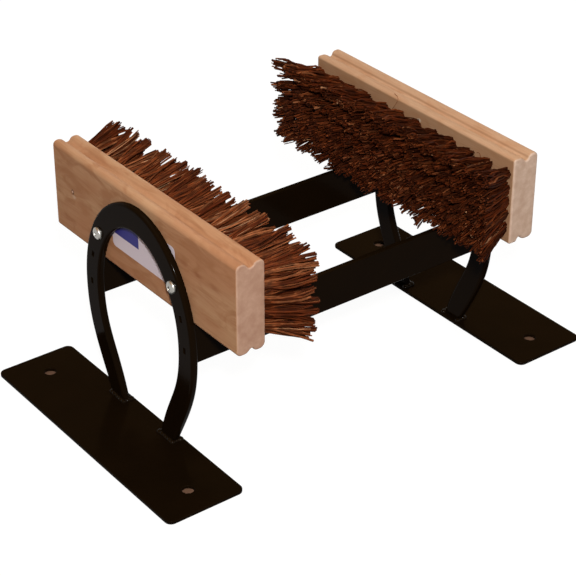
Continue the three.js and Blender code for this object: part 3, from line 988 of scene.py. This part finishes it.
def bristle_mesh(end):
    chance = random.Random(end + " brush")
    low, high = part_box(end + "_brush_block")
    sign = 1 if end == "right" else -1
    face_x = (high.x if end == "right" else -low.x) - block_thickness
    middle_z = (low.z + high.z) / 2
    half_y = (high.y - low.y) / 2 - tuft_end_margin
    half_z = (high.z - low.z) / 2 - tuft_side_margin
    curve = bpy.data.curves.new(end + "_fibres", "CURVE")
    curve.dimensions = "3D"
    curve.bevel_mode = "OBJECT"
    curve.bevel_object = fibre_section
    curve.use_fill_caps = True
    tones = []

    def add_fibre(path, size, tone):
        spline = curve.splines.new("POLY")
        spline.points.add(fibre_points - 1)
        turn = chance.uniform(0, math.pi)
        twist = chance.gauss(0, fibre_twist)
        for i, (point, at) in enumerate(zip(spline.points, path)):
            y = min(max(at.y, -fibre_limit_y), fibre_limit_y)
            z = min(middle_z + at.z, fibre_limit_z)
            point.co = (sign * (face_x - at.x), sign * y, z, 1)
            point.tilt = turn + twist * i / fibre_points
            point.radius = size
        tones.append(min(1, max(0, tone)))

    def scatter(amount):
        return Vector((0, chance.gauss(0, amount), chance.gauss(0, amount)))

    # An even spread of places over a round of radius 1
    def place_in_round(index, count):
        turn = index * golden_turn + chance.uniform(-turn_scatter, turn_scatter)
        return Vector((0, math.cos(turn), math.sin(turn))) * math.sqrt((index + 0.5) / count)

    low_lean, high_lean = row_lean[end]
    spread_y, spread_z = tuft_spread[end]
    for row in range(tuft_rows):
        up = 2 * row / (tuft_rows - 1) - 1
        row_slant = up * (high_lean if up > 0 else low_lean)
        for column in range(tuft_columns):
            across = 2 * column / (tuft_columns - 1) - 1
            centre = Vector((0, across * half_y, up * half_z))
            lean = Vector((0, column_lean * across * abs(across), row_slant))
            lean += scatter(lean_scatter)
            reach = trim + chance.uniform(-1, 1) * trim_scatter
            tuft_tone = chance.gauss(0, tuft_contrast)
            turned = chance.uniform(0, 6)
            for lock in range(locks_in_tuft):
                spot = place_in_round(lock + turned, locks_in_tuft + turned)
                lock_reach = reach + chance.gauss(0, lock_trim_scatter) - tuft_dome * spot.length
                lock_tip = centre + lean * lock_reach + scatter(lock_scatter)
                lock_tip += Vector((lock_reach, spot.y * spread_y, spot.z * spread_z))
                lock_root = centre + spot * (tuft_root_radius - lock_root_radius)
                lock_bow = scatter(lock_scatter) - lean * lock_sag
                curl = scatter(lock_curl[end])
                lock_tone = tuft_tone + chance.gauss(0, lock_contrast)
                for fibre in range(fibres_in_lock):
                    near = place_in_round(fibre, fibres_in_lock)
                    root = lock_root + near * lock_root_radius - Vector((fibre_root_depth, 0, 0))
                    tip = lock_tip + near * lock_tip_radius[end] + scatter(fibre_scatter)
                    tip.x += chance.gauss(0, fibre_tip_scatter[end])
                    if chance.random() < stray_share:
                        shortfall = scatter(stray_scatter)
                        shortfall.x -= chance.uniform(*stray_shortfall)
                        tip += shortfall
                    bow = lock_bow + scatter(fibre_bow)
                    wave = scatter(fibre_wave[end])
                    path = []
                    for i in range(fibre_points):
                        t = i / (fibre_points - 1)
                        at = root.lerp(tip, t) + bow * math.sin(math.pi * t)
                        path.append(at + wave * math.sin(3 * math.pi * t) + curl * (t ** 3 - t / 2))
                    size = chance.uniform(*fibre_sizes)
                    tone = chance.gauss(fibre_tone_and_shade[end], fibre_contrast[end]) + lock_tone
                    add_fibre(path, size, tone)
    if end == "right":
        for places in loose_fibres:
            spans = len(places) - 1
            path = []
            for i in range(fibre_points):
                along = spans * i / (fibre_points - 1)
                first = min(int(along), spans - 1)
                at = Vector(places[first]).lerp(Vector(places[first + 1]), along - first)
                path.append(Vector((at.x, at.y, at.z - middle_z)))
            add_fibre(path, loose_fibre_size, loose_fibre_tone)
    holder = bpy.data.objects.new(end + "_fibres", curve)
    scene.collection.objects.link(holder)
    mesh = baked_mesh(holder, end + "_fibres")
    count = len(mesh.vertices)
    share = count // len(tones)
    ring = share // fibre_points
    runs = [(i % share) // ring / (fibre_points - 1) for i in range(count)]
    tone_layer = mesh.attributes.new("fibre_tone_and_shade", "FLOAT", "POINT")
    tone_layer.data.foreach_set("value", [tones[i // share] for i in range(count)])
    run_layer = mesh.attributes.new("fibre_run", "FLOAT", "POINT")
    run_layer.data.foreach_set("value", runs)
    return mesh


# Brush fibre: red-brown, from near black to tan by strand, with painted shade towards the roots and
# at the cut tips, blotched with dark along its length and nearly matt
fibre_ramp = {
    0.0: (0.028, 0.0050, 0.0009, 1),
    0.3: (0.094, 0.0172, 0.0040, 1),
    0.55: (0.172, 0.041, 0.0110, 1),
    0.8: (0.32, 0.113, 0.044, 1),
    1.0: (0.48, 0.255, 0.135, 1),
}
# Painted shade along each fibre: darker near the root and at the cut tip
root_and_tip_shade_ramp = {
    0.05: (0.5, 0.5, 0.5, 1),
    0.35: (1, 1, 1, 1),
    0.86: (1, 1, 1, 1),
    1.0: (0.45, 0.45, 0.45, 1),
}
blotch_tone = (0.045, 0.014, 0.006)
blotch_scale = 500
fibre_roughness = 0.6
fibre_shine = 0.02
fibre_relief_strength = 0.4

fibre_material, nodes, links = new_material("brush_fibre")
strand = nodes.new("ShaderNodeAttribute")
strand.attribute_name = "fibre_tone_and_shade"
run = nodes.new("ShaderNodeAttribute")
run.attribute_name = "fibre_run"
by_strand = colour_ramp(nodes, links, strand.outputs["Fac"], fibre_ramp)
shade_along_fibre = colour_ramp(nodes, links, run.outputs["Fac"], root_and_tip_shade_ramp)
colour = mix_colour(nodes, links, 1.0, by_strand, shade_along_fibre, "MULTIPLY")
place = nodes.new("ShaderNodeTexCoord")
drawn = nodes.new("ShaderNodeMapping")
drawn.inputs["Scale"].default_value = (0.2, 1, 1)
links.new(place.outputs["Object"], drawn.inputs["Vector"])
blotch = noise(nodes, links, drawn.outputs[0], blotch_scale, 2).outputs["Fac"]
darker = map_range(nodes, links, blotch, 0.4, 0.65, 0.0, 0.6)
colour = mix_colour(nodes, links, darker, colour, blotch_tone)
roughness = nodes.new("ShaderNodeValue").outputs[0]
roughness.default_value = fibre_roughness
add_surface(nodes, links, colour, roughness, fibre_shine, blotch, fibre_relief_strength)

for end in ("left", "right"):
    node = end + "_bristles"
    bristles = finish_piece(end + "_fibres", bristle_mesh(end), fibre_material)
    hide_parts(node)
    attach(bristles, "root")
bpy.data.objects.remove(fibre_section)

# Screws: pan-head wood screws with a cross recess, bright zinc plated.
# They pass through the shoe into the block.
screw_sides = 40
head_rim = 0.0009
dome_step = 9
shank_radius = 0.0021
shank_point = 0.004
recess_length = 0.0056
recess_width = 0.0012
recess_depth = 0.0016
recess_taper = (1, 0.45, 0.6)
head_crease_angle = math.radians(35)
zinc_dark = (0.27, 0.26, 0.235)
zinc_light = (0.43, 0.42, 0.39)
zinc_roughness = (0.26, 0.38)
tumbling_scale = 900


def screw_mesh(node):
    low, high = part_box(node)
    sign = 1 if high.x > 0 else -1
    radius = (high.y - low.y) / 2
    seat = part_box(node.split("_")[0] + "_horseshoe")[1 if sign > 0 else 0].x * sign
    top = max(abs(low.x), abs(high.x))
    tip = min(abs(low.x), abs(high.x))
    rim = seat + head_rim
    turns = [math.radians(a) for a in range(0, 90, dome_step)]
    profile = [(0, tip), (shank_radius, tip + shank_point), (shank_radius, seat), (radius, seat)]
    profile += [(radius * math.cos(a), rim + (top - rim) * math.sin(a)) for a in turns]
    profile.append((0, top))
    bm = bmesh.new()
    verts = [bm.verts.new((x, r, 0)) for r, x in profile]
    edges = [bm.edges.new(pair) for pair in zip(verts, verts[1:])]
    bmesh.ops.spin(
        bm, geom=verts + edges, axis=(1, 0, 0), cent=(0, 0, 0), angle=2 * math.pi,
        steps=screw_sides, use_merge=True,
    )
    bmesh.ops.remove_doubles(bm, verts=bm.verts, dist=profile_merge_distance)
    bmesh.ops.recalc_face_normals(bm, faces=bm.faces)
    head = bpy.data.meshes.new(node + "_head")
    bm.to_mesh(head)
    bm.free()
    bm = bmesh.new()
    for turn in (0, 90):
        arm = bmesh.ops.create_cube(bm, size=1)["verts"]
        bmesh.ops.scale(bm, verts=arm, vec=(2 * recess_depth, recess_length, recess_width))
        deep = [v for v in arm if v.co.x < 0]
        bmesh.ops.scale(bm, verts=deep, vec=recess_taper)
        quarter_turn = Matrix.Rotation(math.radians(turn), 3, "X")
        bmesh.ops.rotate(bm, verts=arm, cent=(0, 0, 0), matrix=quarter_turn)
    bmesh.ops.translate(bm, verts=bm.verts, vec=(top, 0, 0))
    mesh = cut_mesh(head, bm, node)
    turned = random.Random(node).uniform(0, math.pi / 2)
    mesh.transform(Matrix.Rotation(turned, 4, "X"))
    if sign < 0:
        mesh.transform(Matrix.Rotation(math.pi, 4, "Z"))
    mesh.transform(Matrix.Translation((0, (low.y + high.y) / 2, (low.z + high.z) / 2)))
    for polygon in mesh.polygons:
        polygon.use_smooth = True
    mesh.set_sharp_from_angle(angle=head_crease_angle)
    return mesh


# Zinc plate: bright and slightly warm, with faint tumbling marks
zinc, nodes, links = new_material("zinc_plate")
place = nodes.new("ShaderNodeTexCoord").outputs["Object"]
marks = noise(nodes, links, place, tumbling_scale, 3).outputs["Fac"]
colour = mix_colour(nodes, links, marks, zinc_dark, zinc_light)
roughness = map_range(nodes, links, marks, 0.3, 0.7, *zinc_roughness)
shader = nodes.new("ShaderNodeBsdfPrincipled")
shader.inputs["Metallic"].default_value = 1
output = nodes.new("ShaderNodeOutputMaterial")
links.new(colour, shader.inputs["Base Color"])
links.new(roughness, shader.inputs["Roughness"])
links.new(shader.outputs[0], output.inputs["Surface"])

for end in ("left", "right"):
    for label in ("a", "b"):
        node = f"{end}_brush_screw_{label}"
        screw = finish_piece(f"{end}_screw_{label}", screw_mesh(node), zinc)
        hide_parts(node)
        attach(screw, "root")
